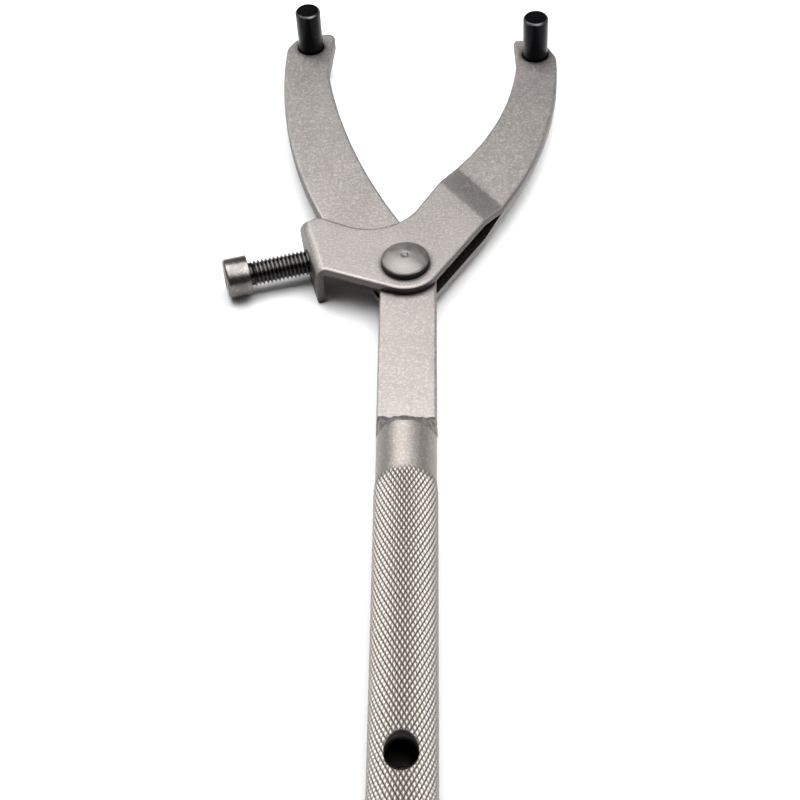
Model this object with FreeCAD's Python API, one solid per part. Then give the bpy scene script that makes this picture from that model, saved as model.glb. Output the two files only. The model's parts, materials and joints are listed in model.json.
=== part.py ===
"""Adjustable two-pin holding wrench, lying flat with its pins up. Millimetres.

Everything is drawn about the pivot: the rivet's axis is X = Y = 0, the jaws point along +Y, the handle
along -Y, and Z = 0 is the middle of the fixed arm's thickness. At the end the whole tool is moved so
that its origin is the centre of the underside of its bounding box.
"""
import FreeCAD, Part
import math
import os

V = FreeCAD.Vector
Z_AXIS = V(0, 0, 1)

# Flat stock
ARM_T = 5.0                      # fixed arm, one blade
PLATE_T = 2.5                    # moving arm, each of its two pressed plates
PIVOT_GAP = 0.3                  # running gap between the blade and each plate
EDGE_BREAK = 0.45                # rounding of the blanked edges
CLEVIS_IN = ARM_T / 2 + PIVOT_GAP
CLEVIS_OUT = CLEVIS_IN + PLATE_T

# Handle: gas pipe with a knurled grip, welded on the blade's shank
HANDLE_X = 0.7                   # the handle's centre line runs this far right of the pivot
TUBE_OD = 17.2
TUBE_WALL = 2.3
TUBE_FRONT = -65.5
TUBE_LENGTH = 136.0
GRIP_OD = 18.0                   # crests of the knurl
GRIP_FRONT = -81.5
GRIP_END_GAP = 3.0               # plain end behind the knurl
HANG_HOLE_Y = -170.5
HANG_HOLE_R = 4.3
HANG_SINK_R = 5.9                # countersink, measured at the crest of the grip
TANG_W = 12.2                    # the blade's tongue inside the tube
TANG_L = 22.0
WELD_RUN = 5.5                   # weld fillet, along the blade
WELD_RISE = 4.6                  # weld fillet, up the tube's end face
WELD_BELLY = 0.62                # 0.5 would be a flat weld face, more is a full one

# Pivot rivet
RIVET_R = 4.0
RIVET_RUNNING = 0.05             # radial clearance in the fixed blade
RIVET_HEAD_R = 7.3
RIVET_RIM = 2.0
RIVET_DOME = 2.0
RIVET_NUB_R = 0.9
RIVET_NUB = 0.25
RIVET_TAIL_R = 6.2
RIVET_TAIL_RIM = 1.6
RIVET_TAIL_DOME = 2.1            # its crown stands level with the underside of the grip
BOSS_R = 10.8                    # rounded ends of the moving plates about the pivot

# Working pins
PIN_R = 4.25
PIN_UP = 15.5                    # above the arm
PIN_CHAMFER = 0.6
PIN_SHANK_R = 4.0
PIN_HOLE_SINK = 0.6
FIXED_PIN = (-34.0, 111.1)
MOVING_PIN = (43.5, 103.5)

# Adjusting screw, M8 x 25 socket head; its own frame has X along the screw and Y along the fold
SCREW_ANGLE = 15.0
SCREW_Y = 17.0                   # screw axis, across the tab
SCREW_Z = -2.3
SCREW_R = 4.0
SCREW_LENGTH = 25.0
SCREW_HEAD_R = 6.2
SCREW_HEAD_L = 7.5
SCREW_SOCKET = 6.0               # across the flats
SCREW_SOCKET_DEPTH = 4.2
SCREW_NECK_R = 3.6
SCREW_NECK_L = 2.0
SCREW_RUNNING = 0.05             # radial clearance in the tab
HEEL_R = 12.0                    # rounded heel of the blade that the screw's tip bears on
HEEL_X = -9.2                    # heel's centre along the screw
HEEL_FROM = 172                  # the round stretch of the heel, in degrees about its centre
HEEL_TO = 232
TIP_GAP = 0.1

# Tab of the upper moving plate
TAB_X = -27.4                    # outer face
TAB_NEAR = 4.6
TAB_FAR = 27.2
TAB_BOTTOM = -9.0
TAB_BEND_R = 3.2                 # outside of the bend
TAB_ROOT = 0.6                   # flat stretch shared with the ear
TAB_FOOT = 20.5                  # where the foot stops and the far side starts to slant
EAR_TOP_IN = 3.0                 # the ear's upper corner, inward of the bend
EAR_TOP_OVER = 1.2               # and beyond the tab
EAR_FRONT_ANGLE = 246.7          # where the ear's front edge leaves the boss

# Moving jaw: its right-hand side leaves the boss in this direction and runs straight
SIDE_ANGLE = 57.3
SIDE_LENGTH = 37.0

# Joggle of the moving plates, measured from the pivot along its own direction
JOGGLE_ANGLE = 36.8
JOGGLE_START = 30.8
JOGGLE_END = 40.4
JOGGLE_R = 2.5

FAR = 200.0                      # longer than any arm


def point(x, y, z=0.0):
    return V(x, y, z)


def outline(start, *moves):
    """Face in the XY plane. A move is (x, y) for a line, or (via x, via y, x, y) for an arc."""
    edges = []
    here = point(*start)
    for move in moves + (start,):
        end = point(*move[-2:])
        if len(move) == 4:
            edges.append(Part.Arc(here, point(*move[:2]), end).toShape())
        elif here.distanceToPoint(end) > 1e-6:
            edges.append(Part.LineSegment(here, end).toShape())
        here = end
    return Part.Face(Part.Wire(edges))


def plate(face, z_low, z_high):
    slab = face.extrude(V(0, 0, z_high - z_low))
    slab.translate(V(0, 0, z_low))
    return slab


def round_corners(solid, *corners):
    """Each corner is (x, y, radius); every upright edge at that place is rounded."""
    for x, y, radius in corners:
        edges = []
        for edge in solid.Edges:
            ends = [v.Point for v in edge.Vertexes]
            if len(ends) == 2 and all(math.hypot(p.x - x, p.y - y) < 0.05 for p in ends):
                edges.append(edge)
        solid = solid.makeFillet(radius, edges)
    return solid


def break_edges(solid, z_levels, size):
    """Rounds the rims of a flat plate at the given heights."""
    edges = []
    for edge in solid.Edges:
        box = edge.BoundBox
        if any(abs(box.ZMin - z) < 1e-4 and abs(box.ZMax - z) < 1e-4 for z in z_levels):
            edges.append(edge)
    return solid.makeFillet(size, edges)


def upright(x, y, radius, z_low, z_high):
    return Part.makeCylinder(radius, z_high - z_low, V(x, y, z_low))


def cone_up(x, y, r_low, r_high, z_low, z_high):
    return Part.makeCone(r_low, r_high, z_high - z_low, V(x, y, z_low))


def turned(profile, centre, axis):
    """Solid of revolution. The profile is (radius, along) pairs, closed on the axis."""
    side = V(1, 0, 0) if abs(axis.x) < 0.5 else V(0, 0, 1)
    corners = [centre + side * r + axis * a for r, a in profile]
    face = Part.Face(Part.makePolygon(corners + corners[:1]))
    return face.revolve(centre, axis, 360)


def sheet(points, radii, width, angle):
    """Sheet with a bent section. The section is drawn in X and Z, runs across the whole width along Y,
    and is turned by the angle about Z. Every corner of the section has a radius, 0 for sharp."""
    corners = [V(x, -width / 2, z) for x, z in points]
    solid = Part.Face(Part.makePolygon(corners + corners[:1])).extrude(V(0, width, 0))
    for (x, z), radius in zip(points, radii):
        if radius:
            along = [e for e in solid.Edges
                     if all(math.hypot(v.Point.x - x, v.Point.z - z) < 0.01 for v in e.Vertexes)]
            solid = solid.makeFillet(radius, along)
    solid.rotate(V(0, 0, 0), Z_AXIS, angle)
    return solid


def screw_frame(shape):
    """Turns a shape from the screw's own frame to the tool's."""
    shape.rotate(V(0, 0, 0), Z_AXIS, SCREW_ANGLE)
    return shape


def from_screw_frame(x, y):
    a = math.radians(SCREW_ANGLE)
    return x * math.cos(a) - y * math.sin(a), x * math.sin(a) + y * math.cos(a)


def pin_hole(place, z_low, z_high, sink_top):
    x, y = place
    hole = upright(x, y, PIN_SHANK_R, z_low - 1, z_high + 1)
    if sink_top:
        wide = PIN_SHANK_R + PIN_HOLE_SINK
        hole = hole.fuse(cone_up(x, y, PIN_SHANK_R, wide, z_high - PIN_HOLE_SINK, z_high))
    return hole


def tongue(length):
    """The blade's narrow end, which fills the tube's bore from wall to wall."""
    corner = V(HANDLE_X - TANG_W / 2, TUBE_FRONT - TANG_L, -ARM_T / 2)
    return Part.makeBox(TANG_W, length, ARM_T, corner)


def make_fixed_arm():
    """One blade: tongue, shank, heel for the screw, and the left jaw curving up to its pin."""
    left = HANDLE_X - TUBE_OD / 2
    right = HANDLE_X + TUBE_OD / 2
    heel_x, heel_y = from_screw_frame(HEEL_X, SCREW_Y)

    def heel(degrees):
        a = math.radians(degrees)
        return heel_x + HEEL_R * math.cos(a), heel_y + HEEL_R * math.sin(a)

    heel_high = heel(HEEL_FROM)
    heel_low = heel(HEEL_TO)
    slope = math.tan(math.radians(HEEL_TO + 90))
    waist_y = heel_low[1] + (left - heel_low[0]) * slope
    face = outline(
        (right, TUBE_FRONT),
        (right, 3.1),
        (-14.1, 47.2, -27.6, 98.0),
        (-25.6, 118.0),
        (-31.0, 118.2),
        (-39.6, 115.4),
        (-42.3, 110.5),
        (-38.9, 62.0, -25.3, 20.6),
        heel_high,
        heel((HEEL_FROM + HEEL_TO) / 2) + heel_low,
        (left, waist_y),
        (left, TUBE_FRONT),
    )
    arm = plate(face, -ARM_T / 2, ARM_T / 2)
    arm = round_corners(
        arm,
        (right, 3.1, 14.0),
        (-27.6, 98.0, 25.0),
        (-25.6, 118.0, 2.5),
        (-31.0, 118.2, 6.0),
        (-39.6, 115.4, 4.0),
        (-42.3, 110.5, 6.0),
        (-25.3, 20.6, 8.0),
        (*heel_high, 8.0),
        (left, waist_y, 5.0),
    )
    arm = break_edges(arm, (-ARM_T / 2, ARM_T / 2), EDGE_BREAK)
    arm = arm.fuse(tongue(TANG_L + 1))
    arm = arm.cut(upright(0, 0, RIVET_R + RIVET_RUNNING, -ARM_T, ARM_T))
    return arm.cut(pin_hole(FIXED_PIN, -ARM_T / 2, ARM_T / 2, True)).removeSplitter()


def on_boss(degrees):
    a = math.radians(degrees)
    return BOSS_R * math.cos(a), BOSS_R * math.sin(a)


def jaw_moves():
    """The moving arm's right-hand side and tip, from the boss to the inner edge above the pivot."""
    side = math.radians(SIDE_ANGLE)
    start = on_boss(SIDE_ANGLE - 90)
    shoulder = (start[0] + SIDE_LENGTH * math.cos(side), start[1] + SIDE_LENGTH * math.sin(side))
    moves = (
        shoulder,
        (44.6, 59.5, 50.7, 101.5),
        (47.6, 108.4),
        (40.6, 111.4),
        (36.3, 111.4),
        (36.9, 99.5),
        (30.2, 70.3, 15.8, 45.9),
    )
    corners = (
        (50.7, 101.5, 8.0),
        (47.6, 108.4, 4.0),
        (40.6, 111.4, 3.0),
        (36.3, 111.4, 1.2),
        (36.9, 99.5, 20.0),
        (15.8, 45.9, 20.0),
    )
    return start, moves, corners


def joggled_sheet(sign):
    """Endless plate with the joggle's section: clear of the blade by the pivot, at Z = 0 in the jaw."""
    low = [(-FAR, CLEVIS_IN), (JOGGLE_START, CLEVIS_IN), (JOGGLE_END, 0.0), (FAR, 0.0)]
    high = [(x, z + PLATE_T) for x, z in reversed(low)]
    radii = [0, JOGGLE_R, JOGGLE_R + PLATE_T, 0, 0, JOGGLE_R, JOGGLE_R + PLATE_T, 0]
    section = [(x, sign * z) for x, z in low + high]
    return sheet(section, radii, 2 * FAR, JOGGLE_ANGLE)


def soften_rim(solid, sign):
    """Rounds a bent plate where its outer face, flat or bent, meets its upright cut edge."""
    rim = []
    for edge in solid.Edges:
        middle = edge.valueAt((edge.FirstParameter + edge.LastParameter) / 2)
        sides = [f for f in solid.Faces if any(edge.isSame(other) for other in f.Edges)]
        normals = [f.normalAt(*f.Surface.parameter(middle)) for f in sides]
        upright_side = min(abs(n.z) for n in normals) < 0.02
        outer_side = max(sign * n.z for n in normals) > 0.3
        if upright_side and outer_side:
            rim.append(edge)
    return solid.makeFillet(EDGE_BREAK, rim)


def make_upper_plate():
    """Upper plate of the moving arm: jaw, joggle, boss, and the ear that carries the screw's tab."""
    start, moves, corners = jaw_moves()
    bend_x = TAB_X + TAB_BEND_R
    near = from_screw_frame(bend_x, TAB_NEAR)
    far = from_screw_frame(bend_x, TAB_FAR)
    ear_top = from_screw_frame(bend_x + EAR_TOP_IN, TAB_FAR + EAR_TOP_OVER)
    face = outline(
        start,
        *moves,
        (-4.4, 10.6),
        ear_top,
        far,
        near,
        on_boss(EAR_FRONT_ANGLE),
        on_boss(-80) + start,
    )
    slab = plate(face, -2 * PLATE_T, CLEVIS_OUT + PLATE_T)
    slab = round_corners(slab, *corners, (-4.4, 10.6, 17.0), (*ear_top, 3.0))
    body = slab.common(joggled_sheet(1))
    body = body.fuse(make_tab()).removeSplitter()
    body = soften_rim(body, 1)
    body = body.cut(upright(0, 0, RIVET_R, 0, CLEVIS_OUT + 1)).cut(screw_bore())
    return body.cut(pin_hole(MOVING_PIN, 0, PLATE_T, True))


def screw_bore():
    start = V(TAB_X - PLATE_T, SCREW_Y, SCREW_Z)
    return screw_frame(Part.makeCylinder(SCREW_R + SCREW_RUNNING, 3 * PLATE_T, start, V(1, 0, 0)))


def make_tab():
    """The ear's end bent down at a right angle, for the screw to go through."""
    inner_r = TAB_BEND_R - PLATE_T
    low = TAB_BOTTOM
    root_x = TAB_X + TAB_BEND_R + TAB_ROOT
    section = [
        (root_x, CLEVIS_IN),
        (TAB_X + PLATE_T, CLEVIS_IN),
        (TAB_X + PLATE_T, low),
        (TAB_X, low),
        (TAB_X, CLEVIS_OUT),
        (root_x, CLEVIS_OUT),
    ]
    strip = sheet(section, [0, inner_r, 0, 0, TAB_BEND_R, 0], 2 * FAR, 0)
    shape = outline(
        (TAB_NEAR, low),
        (TAB_FOOT, low),
        (TAB_FAR, 0.0),
        (TAB_FAR, CLEVIS_OUT + 1),
        (TAB_NEAR, CLEVIS_OUT + 1),
    )
    blank = round_corners(plate(shape, -FAR, FAR), (TAB_NEAR, low, 0.8), (TAB_FOOT, low, 4.0),
                          (TAB_FAR, 0.0, 8.0))
    blank.rotate(V(0, 0, 0), V(1, 1, 1), 120)
    return screw_frame(strip.common(blank))


def make_lower_plate():
    """Lower plate of the moving arm: the same jaw and boss, without the ear."""
    start, moves, corners = jaw_moves()
    face = outline(start, *moves, on_boss(150), on_boss(-120) + start)
    slab = plate(face, -CLEVIS_OUT - PLATE_T, 2 * PLATE_T)
    slab = round_corners(slab, *corners)
    body = soften_rim(slab.common(joggled_sheet(-1)), -1)
    body = body.cut(upright(0, 0, RIVET_R, -CLEVIS_OUT - 1, 0))
    return body.cut(pin_hole(MOVING_PIN, -PLATE_T, 0, False))


def make_handle_tube():
    """Pipe with its knurled grip as a plain band, open at the back, with the hanging hole."""
    back = TUBE_FRONT - TUBE_LENGTH
    grip_back = back + GRIP_END_GAP
    down = V(0, -1, 0)
    front = V(HANDLE_X, TUBE_FRONT, 0)
    step = (GRIP_OD - TUBE_OD) / 2
    profile = [
        (0, 0),
        (TUBE_OD / 2, 0),
        (TUBE_OD / 2, TUBE_FRONT - GRIP_FRONT),
        (GRIP_OD / 2, TUBE_FRONT - GRIP_FRONT + step),
        (GRIP_OD / 2, TUBE_FRONT - grip_back - step),
        (TUBE_OD / 2, TUBE_FRONT - grip_back),
        (TUBE_OD / 2, TUBE_LENGTH - 1.0),
        (TUBE_OD / 2 - 1.0, TUBE_LENGTH),
        (0, TUBE_LENGTH),
    ]
    tube = turned(profile, front, down)
    bore = Part.makeCylinder(TUBE_OD / 2 - TUBE_WALL, TUBE_LENGTH + 2, front - down, down)
    tube = tube.cut(bore).cut(tongue(TANG_L))
    crest = GRIP_OD / 2
    depth = HANG_SINK_R - HANG_HOLE_R
    tube = tube.cut(upright(HANDLE_X, HANG_HOLE_Y, HANG_HOLE_R, -GRIP_OD, GRIP_OD))
    tube = tube.cut(cone_up(HANDLE_X, HANG_HOLE_Y, HANG_HOLE_R, HANG_SINK_R + 1, crest - depth, crest + 1))
    return tube.cut(cone_up(HANDLE_X, HANG_HOLE_Y, HANG_SINK_R + 1, HANG_HOLE_R, -crest - 1, depth - crest))


def make_weld(sign):
    """Fillet weld between the blade's face and the tube's end."""
    base = sign * ARM_T / 2
    rise = sign * WELD_RISE
    y = TUBE_FRONT
    corners = [
        V(-FAR, y, base),
        V(-FAR, y + WELD_RUN, base),
        V(-FAR, y + WELD_RUN * WELD_BELLY, base + rise * WELD_BELLY),
        V(-FAR, y, base + rise),
    ]
    wedge = Part.Face(Part.makePolygon(corners + corners[:1])).extrude(V(2 * FAR, 0, 0))
    round_end = Part.makeCylinder(TUBE_OD / 2 - 0.1, WELD_RUN + 1, V(HANDLE_X, y - 0.5, 0), V(0, 1, 0))
    return wedge.common(round_end)


def make_rivet():
    """Solid rivet: rimmed, domed head with a small centre nub, plain shank, and a peened tail."""
    def dome(radius, rim_z, rise, sign):
        ball_r = (radius ** 2 + rise ** 2) / (2 * rise)
        ball = Part.makeSphere(ball_r, V(0, 0, rim_z + sign * (rise - ball_r)))
        cap_low = rim_z if sign > 0 else rim_z - rise
        return ball.common(upright(0, 0, radius, cap_low, cap_low + rise))

    head = upright(0, 0, RIVET_HEAD_R, CLEVIS_OUT, CLEVIS_OUT + RIVET_RIM)
    head = head.fuse(dome(RIVET_HEAD_R, CLEVIS_OUT + RIVET_RIM, RIVET_DOME, 1))
    crown = CLEVIS_OUT + RIVET_RIM + RIVET_DOME
    nub = cone_up(0, 0, RIVET_NUB_R, RIVET_NUB_R * 0.6, crown - RIVET_NUB, crown + RIVET_NUB)
    shank = upright(0, 0, RIVET_R, -CLEVIS_OUT, CLEVIS_OUT)
    tail_z = -CLEVIS_OUT - RIVET_TAIL_RIM
    tail = upright(0, 0, RIVET_TAIL_R, tail_z, -CLEVIS_OUT)
    tail = tail.fuse(dome(RIVET_TAIL_R, tail_z, RIVET_TAIL_DOME, -1))
    return head.fuse([nub, shank, tail]).removeSplitter()


def make_pin(place, z_top, z_bottom):
    """Working pin: a shouldered stud, its thinner shank pressed into the arm."""
    tip = z_top + PIN_UP
    profile = [
        (0, z_bottom),
        (PIN_SHANK_R, z_bottom),
        (PIN_SHANK_R, z_top),
        (PIN_R, z_top),
        (PIN_R, tip - PIN_CHAMFER),
        (PIN_R - PIN_CHAMFER, tip),
        (0, tip),
    ]
    return turned(profile, V(place[0], place[1], 0), Z_AXIS)


def make_screw():
    """M8 socket head screw, its thread as a plain shank of the thread's outer size."""
    heel_left = HEEL_X - HEEL_R
    tip = heel_left - TIP_GAP
    under_head = tip - SCREW_LENGTH
    profile = [
        (0, -SCREW_HEAD_L),
        (SCREW_HEAD_R - 0.6, -SCREW_HEAD_L),
        (SCREW_HEAD_R, 0.6 - SCREW_HEAD_L),
        (SCREW_HEAD_R, 0),
        (SCREW_NECK_R, 0),
        (SCREW_NECK_R, SCREW_NECK_L),
        (SCREW_R, SCREW_NECK_L + SCREW_R - SCREW_NECK_R),
        (SCREW_R, SCREW_LENGTH - 0.8),
        (SCREW_R - 0.8, SCREW_LENGTH),
        (0, SCREW_LENGTH),
    ]
    seat = V(under_head, SCREW_Y, SCREW_Z)
    screw = turned(profile, seat, V(1, 0, 0))
    corner_r = SCREW_SOCKET / math.sqrt(3)
    mouth = under_head - SCREW_HEAD_L
    hexagon = [V(mouth, SCREW_Y + corner_r * math.cos(math.radians(60 * k + 30)),
                 SCREW_Z + corner_r * math.sin(math.radians(60 * k + 30))) for k in range(6)]
    socket = Part.Face(Part.makePolygon(hexagon + hexagon[:1])).extrude(V(SCREW_SOCKET_DEPTH, 0, 0))
    return screw_frame(screw.cut(socket))


def make_parts():
    return {
        "fixed_arm": make_fixed_arm(),
        "moving_arm_upper_plate": make_upper_plate(),
        "moving_arm_lower_plate": make_lower_plate(),
        "pivot_rivet": make_rivet(),
        "handle_tube": make_handle_tube(),
        "weld_top": make_weld(1),
        "weld_bottom": make_weld(-1),
        "fixed_pin": make_pin(FIXED_PIN, ARM_T / 2, -ARM_T / 2),
        "moving_pin": make_pin(MOVING_PIN, PLATE_T, -PLATE_T),
        "adjusting_screw": make_screw(),
    }


def main():
    parts = make_parts()
    box = Part.Compound(list(parts.values())).optimalBoundingBox(False, False)
    to_base = V(-box.Center.x, -box.Center.y, -box.ZMin)
    os.makedirs("parts", exist_ok=True)
    for name, shape in parts.items():
        solid = shape.Solids[0]
        solid.translate(to_base)
        print(name, solid.isValid(), len(shape.Solids), round(solid.Volume, 1))
        solid.exportStep("parts/" + name + ".step")
    print("pivot at", [round(c, 4) for c in to_base])
    print("size", round(box.XLength, 3), round(box.YLength, 3), round(box.ZLength, 3))


main()
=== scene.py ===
"""Looks of the adjustable two-pin holding wrench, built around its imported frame. Metres.

The blade and the two plates keep the shapes they have in the frame, and get materials. The knurled handle,
the threaded screw, the weld beads, the rivet and the pins are modelled here and replace their nodes.
"""
import json
import math

import bmesh
import bpy
from mathutils import Matrix, Vector, noise


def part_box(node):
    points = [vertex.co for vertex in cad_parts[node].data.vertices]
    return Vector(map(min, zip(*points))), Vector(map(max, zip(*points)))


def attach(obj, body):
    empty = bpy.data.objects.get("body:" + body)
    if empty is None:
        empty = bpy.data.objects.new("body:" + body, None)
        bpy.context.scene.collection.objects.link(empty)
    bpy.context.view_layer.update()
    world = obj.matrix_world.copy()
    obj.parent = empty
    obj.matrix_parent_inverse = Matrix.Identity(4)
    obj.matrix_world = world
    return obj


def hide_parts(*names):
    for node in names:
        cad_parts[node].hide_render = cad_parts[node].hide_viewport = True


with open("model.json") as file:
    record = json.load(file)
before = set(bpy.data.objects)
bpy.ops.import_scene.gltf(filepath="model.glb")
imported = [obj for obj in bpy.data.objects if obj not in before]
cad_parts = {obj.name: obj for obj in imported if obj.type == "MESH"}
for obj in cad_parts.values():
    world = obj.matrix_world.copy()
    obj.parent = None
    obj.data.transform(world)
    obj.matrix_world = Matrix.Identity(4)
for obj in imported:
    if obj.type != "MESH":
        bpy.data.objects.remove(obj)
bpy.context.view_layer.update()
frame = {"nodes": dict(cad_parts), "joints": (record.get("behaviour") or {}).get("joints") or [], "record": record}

MM = 0.001
joints = {j["name"]: j for j in frame["joints"]}
mounts = {m["name"]: m for m in frame["record"]["mounts"]}
PIVOT = Vector(joints["jaw_swing"]["pos_m"])
SCREW_AXIS = Vector(joints["screw_feed"]["axis"])

# Handle
TUBE_R = 8.6 * MM
BORE_R = 6.3 * MM
RIM_ROUND = 0.3 * MM             # at the ends of the tube and of its bore
PLAIN_L = 16.0 * MM              # smooth stretch in front of the knurl
PLAIN_BACK = 3.0 * MM            # and behind it
PLAIN_RINGS = 24
BACK_CHAMFER = 1.0 * MM
KNURL_STARTS = 40                # grooves round the grip, each way
KNURL_PITCH = 2.58 * MM          # along the grip
KNURL_DEPTH = 0.44 * MM
KNURL_ROUND = 2.2                # 1 gives sharp pyramids, more gives rounded cushions
KNURL_CELL = 8                   # mesh steps for each groove, both ways
KNURL_FADE = 12                  # mesh steps over which the grooves deepen at the front
HOLE_R = mounts["hanging_hole"]["dims"]["r_mm"] * MM
SINK_R = 5.9 * MM

# Weld
WELD_WRAP = 84                   # how far it reaches round the tube, in degrees each way from the middle
WELD_LAP = 1.1 * MM              # how far it laps on the tube
WELD_STEPS_ROUND = 120
WELD_STEPS_ALONG = 18
WELD_LEAN = 0.5 * MM             # how much further its toe runs on one side
WELD_SIDE_RUN = 0.9 * MM         # how much further its toe runs on the blade's sides than on its face
WELD_CROWN = 0.35 * MM           # how far it stands out from the tube
WELD_RIPPLE = 0.08 * MM
WELD_RIPPLE_STEP = 9.0           # half a ripple, in degrees round the tube
WELD_LUMP = 0.28 * MM

# Screw
HEAD_R = 6.2 * MM
HEAD_L = 7.5 * MM
SOCKET_R = 6.0 / math.sqrt(3) * MM
SOCKET_DEPTH = 4.2 * MM
SHANK_L = 25.0 * MM
NECK_R = 3.6 * MM
NECK_L = 1.2 * MM
THREAD_R = 4.0 * MM
THREAD_ROOT_R = 3.22 * MM
THREAD_PITCH = 1.25 * MM
THREAD_STEPS = 40                # mesh steps for each turn
TIP_CHAMFER = 0.85 * MM
# Outline of one turn: how far along the pitch, and how high between the root and the crest
THREAD_SHAPE = ((0.0, 0.0), (0.2, 0.0), (0.42, 0.65), (0.53, 1.0), (0.67, 1.0), (0.78, 0.65), (1.0, 0.0))

# Rivet and pins
PLATE_TOP = 5.3 * MM             # outer face of each moving plate by the pivot, from the blade's middle
JAW_TOP = 2.5 * MM               # the same face in the jaw, past the joggle
RIVET_R = 7.3 * MM
RIVET_RIM = 2.0 * MM             # straight side of the head, below its dome
RIVET_SHANK_R = 4.0 * MM
RIVET_BREAK = 0.25 * MM          # rounding of the head's edges
TAIL_R = 6.2 * MM
TAIL_RIM = 1.6 * MM
NUB_GROOVE_R = 1.5 * MM          # the dome ends here and the nub of the turning centre begins
PIN_R = mounts["fixed_pin"]["dims"]["r_mm"] * MM
PIN_SHANK_R = 4.0 * MM
PIN_CHAMFER = 0.6 * MM


def new_object(name, bm):
    mesh = bpy.data.meshes.new(name)
    bmesh.ops.recalc_face_normals(bm, faces=bm.faces)
    bm.to_mesh(mesh)
    bm.free()
    piece = bpy.data.objects.new(name, mesh)
    bpy.context.scene.collection.objects.link(piece)
    return piece


def smooth(piece, degrees):
    """Smooth shading, with sharp edges where the surface turns by more than the given angle."""
    piece.data.shade_smooth()
    piece.data.set_sharp_from_angle(angle=math.radians(degrees))


def frame_along(origin, axis):
    """Matrix that takes local +Z to the given axis."""
    turn = Vector((0, 0, 1)).rotation_difference(axis.normalized()).to_matrix().to_4x4()
    return Matrix.Translation(origin) @ turn


def lathe(bm, profile, place, segments=96):
    """Closed solid of revolution about the place's Z. The profile runs from the axis to the axis."""
    rings = []
    for radius, along in profile:
        if radius < 1e-9:
            rings.append([bm.verts.new(place @ Vector((0, 0, along)))])
            continue
        ring = []
        for k in range(segments):
            a = 2 * math.pi * k / segments
            ring.append(bm.verts.new(place @ Vector((radius * math.cos(a), radius * math.sin(a), along))))
        rings.append(ring)
    for low, high in zip(rings, rings[1:]):
        for k in range(segments):
            corners = [
                low[k % len(low)],
                low[(k + 1) % len(low)],
                high[(k + 1) % len(high)],
                high[k % len(high)],
            ]
            # A ring that is a single point on the axis gives triangles.
            bm.faces.new(list(dict.fromkeys(corners)))


def rounded(corners, radius, steps=4):
    """Profile with every inner corner rounded by the same radius, or less where a side is short."""
    out = [corners[0]]
    for before, corner, after in zip(corners, corners[1:], corners[2:]):
        a, b, c = Vector(before), Vector(corner), Vector(after)
        reach = min(radius, (a - b).length * 0.45, (c - b).length * 0.45)
        start = b + (a - b).normalized() * reach
        end = b + (c - b).normalized() * reach
        for k in range(steps + 1):
            t = k / steps
            p = start * (1 - t) ** 2 + b * 2 * t * (1 - t) + end * t ** 2
            out.append((p.x, p.y))
    out.append(corners[-1])
    return out


def cut(piece, cutter):
    """Takes the cutter out of the piece, and removes the cutter."""
    modifier = piece.modifiers.new("cut", "BOOLEAN")
    modifier.operation = "DIFFERENCE"
    modifier.solver = "EXACT"
    modifier.object = cutter
    shown = piece.evaluated_get(bpy.context.evaluated_depsgraph_get())
    mesh = bpy.data.meshes.new_from_object(shown)
    piece.modifiers.clear()
    piece.data = mesh
    bpy.data.objects.remove(cutter)


# Materials

STEEL = (0.285, 0.263, 0.250)
GRIP_STEEL = (0.285, 0.261, 0.241)
EDGE_SHADE = 0.3                  # painted shade on the plates' upright sheared edges, as a share of the face's tone
# a lighter painted shade on the lower plate's upright edges
LIGHT_EDGE_SHADE = 0.75


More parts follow.
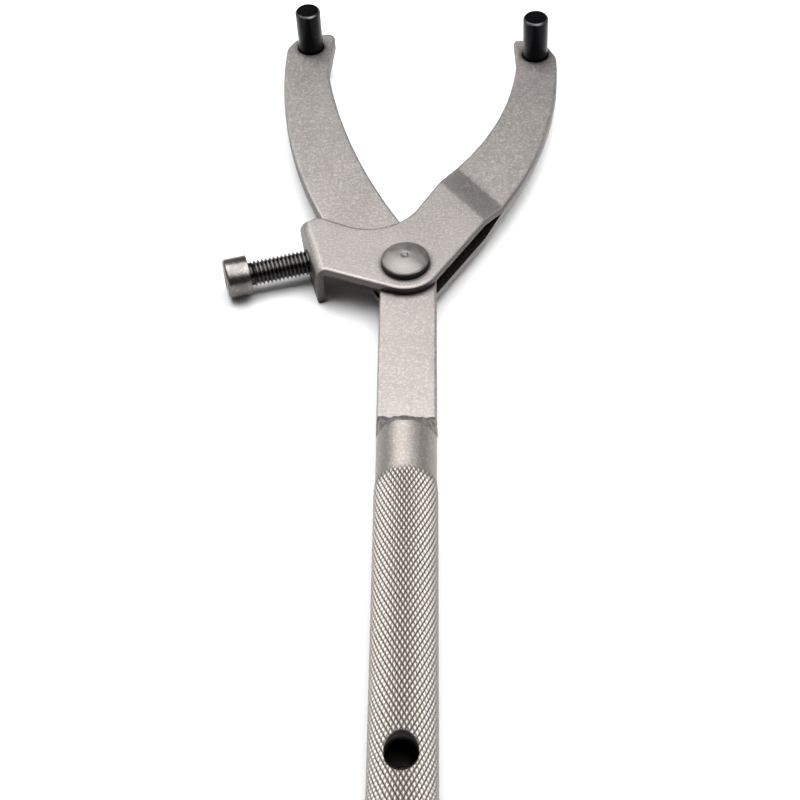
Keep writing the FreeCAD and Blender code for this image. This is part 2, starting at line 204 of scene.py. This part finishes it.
class Nodes:
    """A material's node tree, with short calls for the nodes that are used most."""

    def __init__(self, name):
        self.material = bpy.data.materials.new(name)
        self.material.use_nodes = True
        self.tree = self.material.node_tree
        self.shader = self.tree.nodes["Principled BSDF"]
        self.coords = self.tree.nodes.new("ShaderNodeTexCoord").outputs["Object"]

    def set(self, socket, value):
        if isinstance(value, bpy.types.NodeSocket):
            self.tree.links.new(value, socket)
        else:
            socket.default_value = value

    def shade(self, **values):
        for name, value in values.items():
            self.set(self.shader.inputs[name.replace("_", " ")], value)

    def noise(self, size, detail=3.0, rough=0.5, distortion=0.0):
        """Noise from 0 to 1 whose blobs are about the given size in metres."""
        node = self.tree.nodes.new("ShaderNodeTexNoise")
        self.set(node.inputs["Vector"], self.coords)
        node.inputs["Scale"].default_value = 1 / size
        node.inputs["Detail"].default_value = detail
        node.inputs["Roughness"].default_value = rough
        node.inputs["Distortion"].default_value = distortion
        return node.outputs["Fac"]

    def math(self, operation, a, b=0.0):
        node = self.tree.nodes.new("ShaderNodeMath")
        node.operation = operation
        self.set(node.inputs[0], a)
        self.set(node.inputs[1], b)
        return node.outputs[0]

    def spread(self, value, low, high, to_low=0.0, to_high=1.0):
        node = self.tree.nodes.new("ShaderNodeMapRange")
        self.set(node.inputs["Value"], value)
        node.inputs["From Min"].default_value = low
        node.inputs["From Max"].default_value = high
        node.inputs["To Min"].default_value = to_low
        node.inputs["To Max"].default_value = to_high
        return node.outputs[0]

    def mix(self, factor, a, b):
        """Colour between a and b. The node's colour sockets are 6 and 7, and its colour output is 2."""
        node = self.tree.nodes.new("ShaderNodeMix")
        node.data_type = "RGBA"
        self.set(node.inputs["Factor"], factor)
        for socket, value in ((node.inputs[6], a), (node.inputs[7], b)):
            self.set(socket, value if isinstance(value, bpy.types.NodeSocket) else (*value, 1.0))
        return node.outputs[2]

    def bump(self, height, distance, strength=1.0, normal=None):
        node = self.tree.nodes.new("ShaderNodeBump")
        self.set(node.inputs["Height"], height)
        node.inputs["Distance"].default_value = distance
        node.inputs["Strength"].default_value = strength
        if normal:
            self.set(node.inputs["Normal"], normal)
        return node.outputs["Normal"]

    def upright(self, flat_at, upright_at):
        """0 where the surface lies flat, rising to 1 where it stands upright, by the normal's Z."""
        geometry = self.tree.nodes.new("ShaderNodeNewGeometry")
        split = self.tree.nodes.new("ShaderNodeSeparateXYZ")
        self.set(split.inputs[0], geometry.outputs["Normal"])
        return self.spread(self.math("ABSOLUTE", split.outputs["Z"]), flat_at, upright_at)

    def soft_edges(self, radius):
        """Normal that rolls over gently towards each edge."""
        node = self.tree.nodes.new("ShaderNodeBevel")
        node.samples = 6
        self.set(node.inputs["Radius"], radius)
        return node.outputs["Normal"]

    def crevice_shade(self, reach):
        """Mask for painted shade: 1 deep in corners and gaps, 0 in the open."""
        node = self.tree.nodes.new("ShaderNodeAmbientOcclusion")
        node.samples = 8
        node.inputs["Distance"].default_value = reach
        return self.spread(node.outputs["AO"], 0.85, 0.5)

    def edge_highlight(self, radius):
        """Mask for a painted highlight: 1 along each edge, 0 away from it."""
        geometry = self.tree.nodes.new("ShaderNodeNewGeometry")
        dot = self.tree.nodes.new("ShaderNodeVectorMath")
        dot.operation = "DOT_PRODUCT"
        self.set(dot.inputs[0], geometry.outputs["Normal"])
        self.set(dot.inputs[1], self.soft_edges(radius))
        return self.spread(dot.outputs["Value"], 0.99, 0.85)

    def along(self, axis):
        node = self.tree.nodes.new("ShaderNodeSeparateXYZ")
        self.set(node.inputs[0], self.coords)
        return node.outputs[axis]

    def offset(self, by):
        node = self.tree.nodes.new("ShaderNodeVectorMath")
        node.operation = "SUBTRACT"
        self.set(node.inputs[0], self.coords)
        node.inputs[1].default_value = by
        return node.outputs[0]

    def distance_from_axis(self, point, flat):
        """Distance from a line through the point. The line runs along the axis that flat sets to 0."""
        node = self.tree.nodes.new("ShaderNodeVectorMath")
        node.operation = "MULTIPLY"
        self.set(node.inputs[0], self.offset(point))
        node.inputs[1].default_value = flat
        length = self.tree.nodes.new("ShaderNodeVectorMath")
        length.operation = "LENGTH"
        self.set(length.inputs[0], node.outputs[0])
        return length.outputs["Value"]


def tone(colour, factor):
    return tuple(c * factor for c in colour)


def blasted_steel(name, edge_shade, bend=None):
    """Bead-blasted plate: a fine sparkling grain, faint clouds, a few pits, painted shade on its upright sheared
    edges and in its corners and gaps, and a painted highlight along every edge.

    The bend is a pair of heights, in metres. A slope between them is rounded where it meets the upper one.
    """
    n = Nodes(name)
    clouds = n.spread(n.noise(14 * MM, detail=4.0), 0.35, 0.68)
    grain = n.noise(0.75 * MM, detail=3.0, rough=0.8)
    sparkle = n.spread(grain, 0.48, 0.66)
    pits = n.spread(n.noise(1.9 * MM, detail=5.0, rough=0.75), 0.64, 0.74)
    colour = n.mix(clouds, tone(STEEL, 0.95), tone(STEEL, 1.06))
    colour = n.mix(n.math("MULTIPLY", sparkle, 0.5), colour, tone(STEEL, 1.9))
    colour = n.mix(n.math("MULTIPLY", pits, 0.4), colour, tone(STEEL, 0.55))
    # painted shade on the upright sheared edges
    colour = n.mix(n.upright(0.6, 0.1), colour, tone(STEEL, edge_shade))
    # painted highlight along every edge
    colour = n.mix(n.math("MULTIPLY", n.edge_highlight(0.35 * MM), 0.6), colour, tone(STEEL, 2.3))
    # near-black painted shade in corners, in gaps and at the foot of walls
    colour = n.mix(n.crevice_shade(4.5 * MM), colour, tone(STEEL, 0.06))
    rough = n.spread(grain, 0.3, 0.7, 0.40, 0.54)
    rim = 1.3 * MM
    if bend:
        on_slope = n.math("MULTIPLY", n.upright(0.985, 0.96), n.upright(0.6, 0.75))
        rim = n.math("ADD", rim, n.math("MULTIPLY", on_slope, n.spread(n.along("Z"), *bend, 0.0, 4.5 * MM)))
    relief = n.bump(n.noise(2.6 * MM, detail=3.0), 0.06 * MM, 0.35, n.soft_edges(rim))
    relief = n.bump(grain, 0.07 * MM, 0.7, relief)
    n.shade(Base_Color=colour, Metallic=1.0, Roughness=rough, Normal=relief)
    return n.material


def gap_shade():
    """Near-black painted shade, mottled, for the faces that lie in the gap under the blade."""
    n = Nodes("gap_shade")
    mottle = n.spread(n.noise(1.5 * MM, detail=4.0), 0.35, 0.65)
    colour = n.mix(mottle, tone(STEEL, 0.05), tone(STEEL, 0.12))
    n.shade(Base_Color=colour, Metallic=1.0, Roughness=0.7)
    return n.material


def grip_steel():
    """Knurled tube: the knurled grip lightened by a painted highlight, and its grooves darkened by painted shade.
    """
    n = Nodes("grip_steel")
    low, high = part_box("handle_tube")
    middle = (low + high) / 2
    from_axis = n.distance_from_axis(middle, (1, 0, 1))
    crest = high.z - middle.z
    depth = n.spread(from_axis, crest - KNURL_DEPTH, crest - 0.45 * KNURL_DEPTH)
    on_grip = n.spread(n.along("Y"), high.y - PLAIN_L, high.y - PLAIN_L - 1.5 * MM)
    before_end = n.spread(n.along("Y"), low.y + PLAIN_BACK, low.y + PLAIN_BACK + KNURL_PITCH)
    on_grip = n.math("MULTIPLY", on_grip, before_end)
    groove = n.math("MULTIPLY", n.math("SUBTRACT", 1.0, depth), on_grip)
    grain = n.noise(0.7 * MM, detail=3.0, rough=0.8)
    clouds = n.spread(n.noise(11 * MM, detail=4.0), 0.35, 0.68)
    colour = n.mix(clouds, tone(GRIP_STEEL, 0.82), tone(GRIP_STEEL, 0.95))
    colour = n.mix(n.math("MULTIPLY", n.spread(grain, 0.5, 0.66), 0.5), colour, tone(GRIP_STEEL, 1.9))
    # painted highlight over the knurled stretch
    colour = n.mix(on_grip, colour, tone(GRIP_STEEL, 1.45))
    # near-black painted shade in the grooves
    colour = n.mix(n.math("MULTIPLY", groove, 0.92), colour, tone(GRIP_STEEL, 0.1))
    rough = n.spread(grain, 0.3, 0.7, 0.46, 0.58)
    n.shade(Base_Color=colour, Metallic=1.0, Roughness=rough, Normal=n.bump(grain, 0.06 * MM, 0.6))
    return n.material


def weld_metal():
    """Fused bead: lumpy, with soot."""
    n = Nodes("weld_metal")
    low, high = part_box("handle_tube")
    from_middle = n.math("ABSOLUTE", n.math("SUBTRACT", n.along("X"), (low.x + high.x) / 2))
    patches = n.spread(n.noise(1.8 * MM, detail=5.0, rough=0.65), 0.38, 0.6, 0.15, 1.0)
    soot = n.math("MULTIPLY", patches, n.spread(from_middle, 2.5 * MM, 7.5 * MM, 0.4, 1.0))
    colour = n.mix(soot, tone(STEEL, 0.95), tone(STEEL, 0.4))
    grain = n.noise(0.5 * MM, detail=3.0, rough=0.7)
    n.shade(Base_Color=colour, Metallic=1.0, Roughness=n.spread(grain, 0.3, 0.7, 0.42, 0.58),
            Normal=n.bump(grain, 0.05 * MM, 0.6))
    return n.material


def rivet_steel():
    """Turned rivet: fine rings about its axis, under uneven light blasting, with painted shade on its upright
    sides.
    """
    n = Nodes("rivet_steel")
    from_axis = n.distance_from_axis(PIVOT, (1, 1, 0))
    wobble = n.math("MULTIPLY", n.noise(5 * MM, detail=3.0), 0.9 * MM)
    ring_pitch = 0.55 * MM
    phase = n.math("MULTIPLY", n.math("ADD", from_axis, wobble), 2 * math.pi / ring_pitch)
    rings = n.spread(n.math("SINE", phase), -1.0, 1.0)
    clouds = n.spread(n.noise(3.2 * MM, detail=4.0, distortion=0.6), 0.38, 0.65)
    dull = (0.17, 0.159, 0.152)
    bright = (0.24, 0.225, 0.215)
    ring_tone = (0.11, 0.103, 0.098)
    side_shade = (0.03, 0.028, 0.026)
    colour = n.mix(clouds, dull, bright)
    colour = n.mix(n.math("MULTIPLY", rings, 0.35), colour, ring_tone)
    # near-black painted shade on the upright sides
    colour = n.mix(n.upright(0.7, 0.3), colour, side_shade)
    grain = n.noise(0.5 * MM, detail=3.0, rough=0.8)
    relief = n.bump(grain, 0.05 * MM, 0.6)
    relief = n.bump(rings, 0.03 * MM, 0.5, relief)
    n.shade(Base_Color=colour, Metallic=1.0, Roughness=n.spread(clouds, 0.0, 1.0, 0.50, 0.62), Normal=relief)
    return n.material


def black_oxide():
    """Black oxide: nearly black, with an oily sheen, rubbed specks and a painted highlight on its chamfers."""
    n = Nodes("black_oxide")
    grain = n.noise(0.6 * MM, detail=3.0, rough=0.7)
    rubbed = n.spread(n.noise(1.4 * MM, detail=5.0, rough=0.7), 0.62, 0.72)
    black = (0.006, 0.006, 0.007)
    speck = (0.02, 0.02, 0.02)
    chamfer_highlight = (0.09, 0.09, 0.088)
    colour = n.mix(rubbed, black, speck)
    # painted highlight on the chamfers
    edge = n.math("MULTIPLY", n.upright(0.95, 0.8), n.upright(0.2, 0.5))
    colour = n.mix(edge, colour, chamfer_highlight)
    n.shade(Base_Color=colour, Metallic=1.0, Roughness=n.spread(grain, 0.3, 0.7, 0.26, 0.4),
            Normal=n.bump(grain, 0.02 * MM, 0.5))
    return n.material


def screw_steel():
    """Phosphated screw: dark and satin, rubbed bright in places."""
    n = Nodes("screw_steel")
    grain = n.noise(0.5 * MM, detail=3.0, rough=0.7)
    rubbed = n.spread(n.noise(2.2 * MM, detail=5.0, rough=0.65), 0.50, 0.68)
    dark = (0.115, 0.107, 0.101)
    bright = (0.20, 0.187, 0.177)
    colour = n.mix(rubbed, dark, bright)
    n.shade(Base_Color=colour, Metallic=1.0, Roughness=n.spread(grain, 0.3, 0.7, 0.24, 0.38),
            Normal=n.bump(grain, 0.015 * MM, 0.5))
    return n.material


def thread_shade():
    """Near-black painted shade, with an oily sheen, for the screw's neck and its thread's flanks and roots."""
    n = Nodes("thread_shade")
    grain = n.noise(0.5 * MM, detail=3.0, rough=0.7)
    black = (0.015, 0.014, 0.013)
    sheen = (0.05, 0.047, 0.045)
    colour = n.mix(n.spread(grain, 0.45, 0.65), black, sheen)
    n.shade(Base_Color=colour, Metallic=1.0, Roughness=n.spread(grain, 0.3, 0.7, 0.2, 0.34))
    return n.material


def finish_piece(piece, body, material, node=None):
    """Gives a piece its material, its body and its slot, and lets it stand for its node."""
    piece.data.materials.append(material)
    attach(piece, body)
    if node:
        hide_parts(node)


# Pieces


def ridge(x):
    """Height across one family of grooves: 0 in each groove, rising to a rounded 1 between them."""
    return 1 - abs(2 * (x % 1) - 1) ** KNURL_ROUND


def knurl_height(column, row):
    """Height of the diamond knurl on the mesh's own grid."""
    return ridge((column + row) / KNURL_CELL) * ridge((column - row) / KNURL_CELL)


def handle_tube():
    """Tube with its knurl cut in the mesh. The mesh's diagonals follow the grooves."""
    low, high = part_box("handle_tube")
    axis_x, axis_z = (low.x + high.x) / 2, (low.z + high.z) / 2
    crest_r = (high.z - low.z) / 2
    columns = KNURL_STARTS * KNURL_CELL
    step = KNURL_PITCH / KNURL_CELL
    grip_start = high.y - PLAIN_L
    rows = round((grip_start - low.y - PLAIN_BACK) / step)
    bm = bmesh.new()

    def ring(y, radius):
        verts = []
        for k in range(columns):
            a = 2 * math.pi * k / columns
            r = radius(k) if callable(radius) else radius
            verts.append(bm.verts.new((axis_x + r * math.sin(a), y, axis_z + r * math.cos(a))))
        return verts

    rings = [
        ring(high.y, BORE_R),
        ring(high.y, TUBE_R - RIM_ROUND),
        ring(high.y - 0.1 * MM, TUBE_R - 0.09 * MM),
        ring(high.y - RIM_ROUND, TUBE_R),
    ]
    for k in range(1, PLAIN_RINGS):
        rings.append(ring(high.y - RIM_ROUND - (PLAIN_L - RIM_ROUND) * k / PLAIN_RINGS, TUBE_R))
    first = len(rings)
    root = crest_r - KNURL_DEPTH
    for row in range(rows + 1):
        fade = min(1, (row + 0.5) / KNURL_FADE, (rows - row + 0.5) / KNURL_CELL)
        level = root * fade + TUBE_R * (1 - fade)

        def radius(column, row=row, fade=fade, level=level):
            return level + KNURL_DEPTH * fade * knurl_height(column, row)

        rings.append(ring(grip_start - row * step, radius))
    last = len(rings) - 1
    rings += [
        ring(low.y + PLAIN_BACK * 0.9, TUBE_R),
        ring(low.y + BACK_CHAMFER, TUBE_R),
        ring(low.y, TUBE_R - BACK_CHAMFER),
        ring(low.y, BORE_R + RIM_ROUND),
        ring(low.y + RIM_ROUND, BORE_R),
    ]
    for i, (front, back) in enumerate(zip(rings, rings[1:] + rings[:1])):
        for k in range(columns):
            k2 = (k + 1) % columns
            a, b, c, d = front[k], front[k2], back[k2], back[k]
            if not first <= i < last:
                bm.faces.new((a, b, c, d))
            elif (k + 1 + i - first) % 2 == 0:
                bm.faces.new((a, b, d))
                bm.faces.new((b, c, d))
            else:
                bm.faces.new((a, b, c))
                bm.faces.new((a, c, d))
    tube = new_object("handle_tube_knurled", bm)

    hole = Vector(mounts["hanging_hole"]["pos_m"])
    slope_top = crest_r + 2 * MM
    sink_base = crest_r - (SINK_R - HOLE_R)
    profile = [
        (0, -slope_top),
        (HOLE_R + slope_top - sink_base, -slope_top),
        (HOLE_R, -sink_base),
        (HOLE_R, sink_base),
        (HOLE_R + slope_top - sink_base, slope_top),
        (0, slope_top),
    ]
    bm = bmesh.new()
    lathe(bm, profile, Matrix.Translation(hole))
    cut(tube, new_object("hole_cutter", bm))
    smooth(tube, 20)
    return tube


def weld_bead(name, node, side):
    """Hand-laid fillet weld. It fills the tube's mouth, laps on its rim and wraps round the blade's sides."""
    tube_low, tube_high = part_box("handle_tube")
    axis = (tube_low + tube_high) / 2
    low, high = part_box(node)
    base = (low.z if side > 0 else high.z) - axis.z
    run = high.y - low.y
    mouth = tube_high.y
    bm = bmesh.new()
    grid = []
    for i in range(WELD_STEPS_ROUND + 1):
        angle = math.radians(WELD_WRAP) * (2 * i / WELD_STEPS_ROUND - 1)
        out = Vector((math.sin(angle), 0, side * math.cos(angle)))

        def rough(size, seed):
            return noise.noise(Vector((math.degrees(angle) * 0.15 * MM / size, seed, side * 3.0)))

        lean = WELD_LEAN * -math.sin(angle)
        lean += WELD_SIDE_RUN * math.sin(angle) ** 2
        toe_y = mouth + run * (1.0 + 0.12 * rough(2.4 * MM, 0.3) + 0.08 * rough(0.9 * MM, 7.7)) + lean
        lap_y = mouth - WELD_LAP * (1.0 + 0.8 * rough(2.0 * MM, 5.1) + 0.5 * rough(0.8 * MM, 2.2))
        side_z = min(abs(base), TUBE_R * math.cos(angle)) * side
        toe = axis + Vector((TUBE_R * math.sin(angle), 0, side_z))
        toe.y = toe_y
        rim = axis + out * (TUBE_R - 0.02 * MM)
        rim.y = lap_y
        knee = axis + out * (TUBE_R + WELD_CROWN)
        knee.y = mouth + run * 0.42
        column = []
        for j in range(WELD_STEPS_ALONG + 1):
            v = j / WELD_STEPS_ALONG
            p = toe * (1 - v) ** 2 + knee * 2 * v * (1 - v) + rim * v ** 2
            beat = math.degrees(angle) / WELD_RIPPLE_STEP + 1.1 * math.sin(math.pi * v)
            ripple = math.sin(beat * math.pi)
            lump = noise.noise(p / (2.0 * MM)) + 0.25 * noise.noise(p / (0.9 * MM))
            swell = math.sin(math.pi * v) * (WELD_RIPPLE * ripple + WELD_LUMP * lump)
            column.append(bm.verts.new(p + (out + Vector((0, 0.8, 0))) * swell))
        inner_rim = axis + out * (TUBE_R - 0.7 * MM)
        inner_rim.y = lap_y
        inner_toe = Vector((axis.x + (toe.x - axis.x) * 0.94, toe_y - 0.3 * MM, toe.z - side * 0.4 * MM))
        column += [bm.verts.new(inner_rim), bm.verts.new(inner_toe)]
        grid.append(column)
    for left, right in zip(grid, grid[1:]):
        for j in range(len(left)):
            j2 = (j + 1) % len(left)
            bm.faces.new((left[j], left[j2], right[j2], right[j]))
    bm.faces.new(grid[0])
    bm.faces.new(grid[-1])
    bead = new_object(name, bm)
    smooth(bead, 75)
    return bead


def screw():
    """Socket head screw with its helical thread, built from the socket's mouth towards the tip."""
    mouth = mounts["hex_socket"]
    place = frame_along(Vector(mouth["pos_m"]), SCREW_AXIS)
    end = HEAD_L + SHANK_L
    bm = bmesh.new()
    head = [
        (0, 0),
        (HEAD_R - 0.7 * MM, 0),
        (HEAD_R, 0.6 * MM),
        (HEAD_R, HEAD_L),
        (NECK_R, HEAD_L),
        (NECK_R, HEAD_L + NECK_L),
        (THREAD_ROOT_R, HEAD_L + NECK_L + 0.4 * MM),
        (THREAD_ROOT_R - 0.05 * MM, end),
        (0, end),
    ]
    lathe(bm, rounded(head, 0.25 * MM), place)
    body = new_object("adjusting_screw_threaded", bm)

    bm = bmesh.new()
    prism = [(0, -MM), (SOCKET_R, -MM), (SOCKET_R, SOCKET_DEPTH - 0.8 * MM), (0, SOCKET_DEPTH + 0.4 * MM)]
    lathe(bm, prism, place, segments=6)
    lead_in = [(0, -MM), (SOCKET_R + 1.15 * MM, -MM), (SOCKET_R - 0.55 * MM, 0.7 * MM), (0, 0.7 * MM)]
    lathe(bm, lead_in, place)
    cut(body, new_object("socket_cutter", bm))

    bm = bmesh.new()
    bm.from_mesh(body.data)
    start = HEAD_L + NECK_L - 0.2 * MM
    turns = (end - start) / THREAD_PITCH + 1
    rows = []
    for k in range(round(turns * THREAD_STEPS) + 1):
        angle = 2 * math.pi * k / THREAD_STEPS
        row = []
        for along, height in THREAD_SHAPE:
            x = start + (k / THREAD_STEPS - 1 + along) * THREAD_PITCH
            radius = THREAD_ROOT_R + height * (THREAD_R - THREAD_ROOT_R)
            x = min(max(x, start), end)
            run_in = NECK_R + (x - start) * 0.9
            run_out = THREAD_R - max(0, x - end + TIP_CHAMFER)
            radius = max(min(radius, run_in, run_out), THREAD_ROOT_R - 0.04 * MM)
            row.append(bm.verts.new(place @ Vector((radius * math.cos(angle), radius * math.sin(angle), x))))
        rows.append(row)
    for low, high in zip(rows, rows[1:]):
        for j in range(len(THREAD_SHAPE) - 1):
            bm.faces.new((low[j], low[j + 1], high[j + 1], high[j]))
    merge = 0.002 * MM
    bmesh.ops.remove_doubles(bm, verts=bm.verts, dist=merge)
    bmesh.ops.dissolve_degenerate(bm, edges=bm.edges, dist=merge)
    bmesh.ops.recalc_face_normals(bm, faces=bm.faces)
    bm.to_mesh(body.data)
    bm.free()
    smooth(body, 32)
    # The neck and the thread's flanks and roots take the painted shade in slot 1; the head and the crests keep the
    # screw's steel.
    to_local = place.inverted()
    for face in body.data.polygons:
        centre = to_local @ face.center
        on_crest = math.hypot(centre.x, centre.y) > THREAD_R - 0.2 * MM
        face.material_index = 0 if centre.z < HEAD_L + 0.05 * MM or on_crest else 1
    return body


def dome(radius, z, rise, steps=14):
    """Profile of a shallow dome, from its rim to its crown."""
    ball = (radius ** 2 + rise ** 2) / (2 * rise)
    sign = 1 if rise > 0 else -1
    rim = math.asin(radius / abs(ball))
    points = []
    for k in range(steps + 1):
        a = rim * (1 - k / steps)
        points.append((abs(ball) * math.sin(a), z + rise - sign * abs(ball) * (1 - math.cos(a))))
    return points


def rivet():
    """Domed rivet head with the nub of its turning centre, shank and peened tail."""
    low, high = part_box("pivot_rivet")
    crown = high.z - PIVOT.z - 0.25 * MM
    rim_top = PLATE_TOP + RIVET_RIM
    head = dome(RIVET_R, rim_top, crown - rim_top)
    tail_crown = low.z - PIVOT.z
    tail_rim = -PLATE_TOP - TAIL_RIM
    tail = dome(TAIL_R, tail_rim, tail_crown - tail_rim)
    nub = [
        (1.35 * MM, crown - 0.12 * MM),
        (1.05 * MM, crown - 0.18 * MM),
        (0.8 * MM, crown + 0.10 * MM),
        (0.55 * MM, crown + 0.18 * MM),
        (0.3 * MM, crown + 0.08 * MM),
        (0, crown + 0.05 * MM),
    ]
    outer = [p for p in head if p[0] > NUB_GROOVE_R]
    sides = [
        (TAIL_R, -PLATE_TOP),
        (RIVET_SHANK_R, -PLATE_TOP),
        (RIVET_SHANK_R, PLATE_TOP),
        (RIVET_R - RIVET_BREAK, PLATE_TOP),
        (RIVET_R, PLATE_TOP + RIVET_BREAK),
        (RIVET_R, rim_top - RIVET_BREAK),
        (RIVET_R - 0.06 * MM, rim_top - 0.08 * MM),
    ]
    profile = tail[::-1] + sides + outer[1:] + nub
    bm = bmesh.new()
    lathe(bm, profile, Matrix.Translation(PIVOT), segments=128)
    piece = new_object("pivot_rivet_turned", bm)
    smooth(piece, 35)
    return piece


def pin(name, node):
    """Working pin: chamfered tip, straight sides, and the thinner shank pressed into the arm."""
    low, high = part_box(node)
    x, y = (low.x + high.x) / 2, (low.y + high.y) / 2
    length = mounts[node]["dims"]["length_mm"] * MM
    seat = mounts[node]["pos_m"][2] - length / 2
    profile = [
        (0, low.z),
        (PIN_SHANK_R, low.z),
        (PIN_SHANK_R, seat),
        (PIN_R - 0.02 * MM, seat),
        (PIN_R, high.z - PIN_CHAMFER),
        (PIN_R - PIN_CHAMFER, high.z),
        (0, high.z),
    ]
    bm = bmesh.new()
    lathe(bm, rounded(profile, 0.15 * MM), Matrix.Translation((x, y, 0)))
    piece = new_object(name, bm)
    smooth(piece, 35)
    return piece


def build():
    steel = blasted_steel("blasted_steel", EDGE_SHADE)
    light_edge_shade_steel = blasted_steel("blasted_steel_lower", LIGHT_EDGE_SHADE)
    joggle = (PIVOT.z + JAW_TOP, PIVOT.z + PLATE_TOP)
    joggled = blasted_steel("blasted_steel_upper", EDGE_SHADE, bend=joggle)
    plates = {"fixed_arm": steel, "moving_arm_upper_plate": joggled, "moving_arm_lower_plate": light_edge_shade_steel}
    for node, material in plates.items():
        plate = frame["nodes"][node]
        plate.data.materials.clear()
        plate.data.materials.append(material)
    lower = frame["nodes"]["moving_arm_lower_plate"]
    # The lower plate's upward faces, under the blade and the upper plate, take the near-black painted shade.
    lower.data.materials.append(gap_shade())
    for face in lower.data.polygons:
        faces_up = face.normal.z > 0.7
        face.material_index = 1 if faces_up else 0
    weld = weld_metal()
    black = black_oxide()
    finish_piece(handle_tube(), "fixed_jaw", grip_steel(), "handle_tube")
    top_bead = weld_bead("weld_bead_top", "weld_top", 1)
    finish_piece(top_bead, "fixed_jaw", weld, "weld_top")
    bottom_bead = weld_bead("weld_bead_bottom", "weld_bottom", -1)
    finish_piece(bottom_bead, "fixed_jaw", weld, "weld_bottom")
    finish_piece(rivet(), "moving_jaw", rivet_steel(), "pivot_rivet")
    finish_piece(pin("fixed_pin_black", "fixed_pin"), "fixed_jaw", black, "fixed_pin")
    finish_piece(pin("moving_pin_black", "moving_pin"), "moving_jaw", black, "moving_pin")
    bolt = screw()
    finish_piece(bolt, "screw", screw_steel(), "adjusting_screw")
    # second material: the painted shade on the thread
    bolt.data.materials.append(thread_shade())


# Studio

FLOOR_HALF = 4                   # half the floor's side
FRONT_GLOW = 0.02                # the world's strength where its direction's Y is below GLOW_FROM
BACK_GLOW = 0.30                 # and where it is above GLOW_TO
GLOW_FROM = -0.65
GLOW_TO = 0.25

# Camera: its place from the pivot, its angles in degrees, and its lens in millimetres
CAMERA_PLACE = Vector((0.02025, -0.39147, 0.38907))
CAMERA_YAW = -3.624
CAMERA_PITCH = 48.742
CAMERA_ROLL = -3.937
LENS = 80.62
SENSOR = 36


def look_from(place, yaw, pitch, roll, lens):
    """Camera with its heading from +Y towards +X, its tilt down, and its roll, all in degrees."""
    yaw, pitch, roll = (math.radians(a) for a in (yaw, pitch, roll))
    ahead = Vector((math.sin(yaw) * math.cos(pitch), math.cos(yaw) * math.cos(pitch), -math.sin(pitch)))
    level = Vector((math.cos(yaw), -math.sin(yaw), 0))
    up = level.cross(ahead)
    right = math.cos(roll) * level + math.sin(roll) * up
    up = right.cross(ahead)
    data = bpy.data.cameras.new("camera")
    data.lens = lens
    data.sensor_width = SENSOR
    data.clip_start = 0.01
    camera = bpy.data.objects.new("camera", data)
    turn = Matrix((right, up, -ahead)).transposed().to_4x4()
    camera.matrix_world = Matrix.Translation(place) @ turn
    bpy.context.scene.collection.objects.link(camera)
    bpy.context.scene.camera = camera


def softbox(name, place, turn, size_x, size_y, power):
    """Level softbox, turned about the vertical by the given degrees."""
    data = bpy.data.lights.new(name, "AREA")
    data.shape = "RECTANGLE"
    data.size = size_x
    data.size_y = size_y
    data.energy = power
    light = bpy.data.objects.new(name, data)
    light.matrix_world = Matrix.Translation(place) @ Matrix.Rotation(math.radians(turn), 4, "Z")
    bpy.context.scene.collection.objects.link(light)
    return light


def side_lit_world():
    """Pale overhead, at the sides and at the back, and dim towards the front."""
    world = bpy.data.worlds.new("studio")
    world.use_nodes = True
    tree = world.node_tree
    coords = tree.nodes.new("ShaderNodeTexCoord")
    split = tree.nodes.new("ShaderNodeSeparateXYZ")
    tree.links.new(coords.outputs["Generated"], split.inputs[0])
    strength = tree.nodes.new("ShaderNodeMapRange")
    tree.links.new(split.outputs["Y"], strength.inputs["Value"])
    strength.inputs["From Min"].default_value = GLOW_FROM
    strength.inputs["From Max"].default_value = GLOW_TO
    strength.inputs["To Min"].default_value = FRONT_GLOW
    strength.inputs["To Max"].default_value = BACK_GLOW
    background = tree.nodes["Background"]
    background.inputs["Color"].default_value = (0.96, 0.98, 1.0, 1)
    tree.links.new(strength.outputs[0], background.inputs["Strength"])
    return world


def studio():
    scene = bpy.context.scene
    scene.view_settings.view_transform = "Standard"
    scene.world = side_lit_world()

    bm = bmesh.new()
    bmesh.ops.create_grid(bm, x_segments=1, y_segments=1, size=FLOOR_HALF)
    floor = new_object("floor", bm)
    paper = bpy.data.materials.new("white_paper")
    paper.use_nodes = True
    shader = paper.node_tree.nodes["Principled BSDF"]
    shader.inputs["Base Color"].default_value = (0.93, 0.93, 0.93, 1)
    shader.inputs["Roughness"].default_value = 0.9
    shader.inputs["Specular IOR Level"].default_value = 0.1
    floor.data.materials.append(paper)

    # One softbox makes the metal's reflections, and the other the light and shadow on the floor.
    overhead = softbox("overhead", (-0.10, 0.12, 0.80), turn=-30, size_x=1.5, size_y=0.73, power=22.5)
    overhead.visible_diffuse = False
    key = softbox("key", (0.15, 0.48, 1.0), turn=0, size_x=1.9, size_y=1.3, power=36.0)
    key.visible_glossy = False
    look_from(PIVOT + CAMERA_PLACE, CAMERA_YAW, CAMERA_PITCH, CAMERA_ROLL, LENS)


build()
studio()
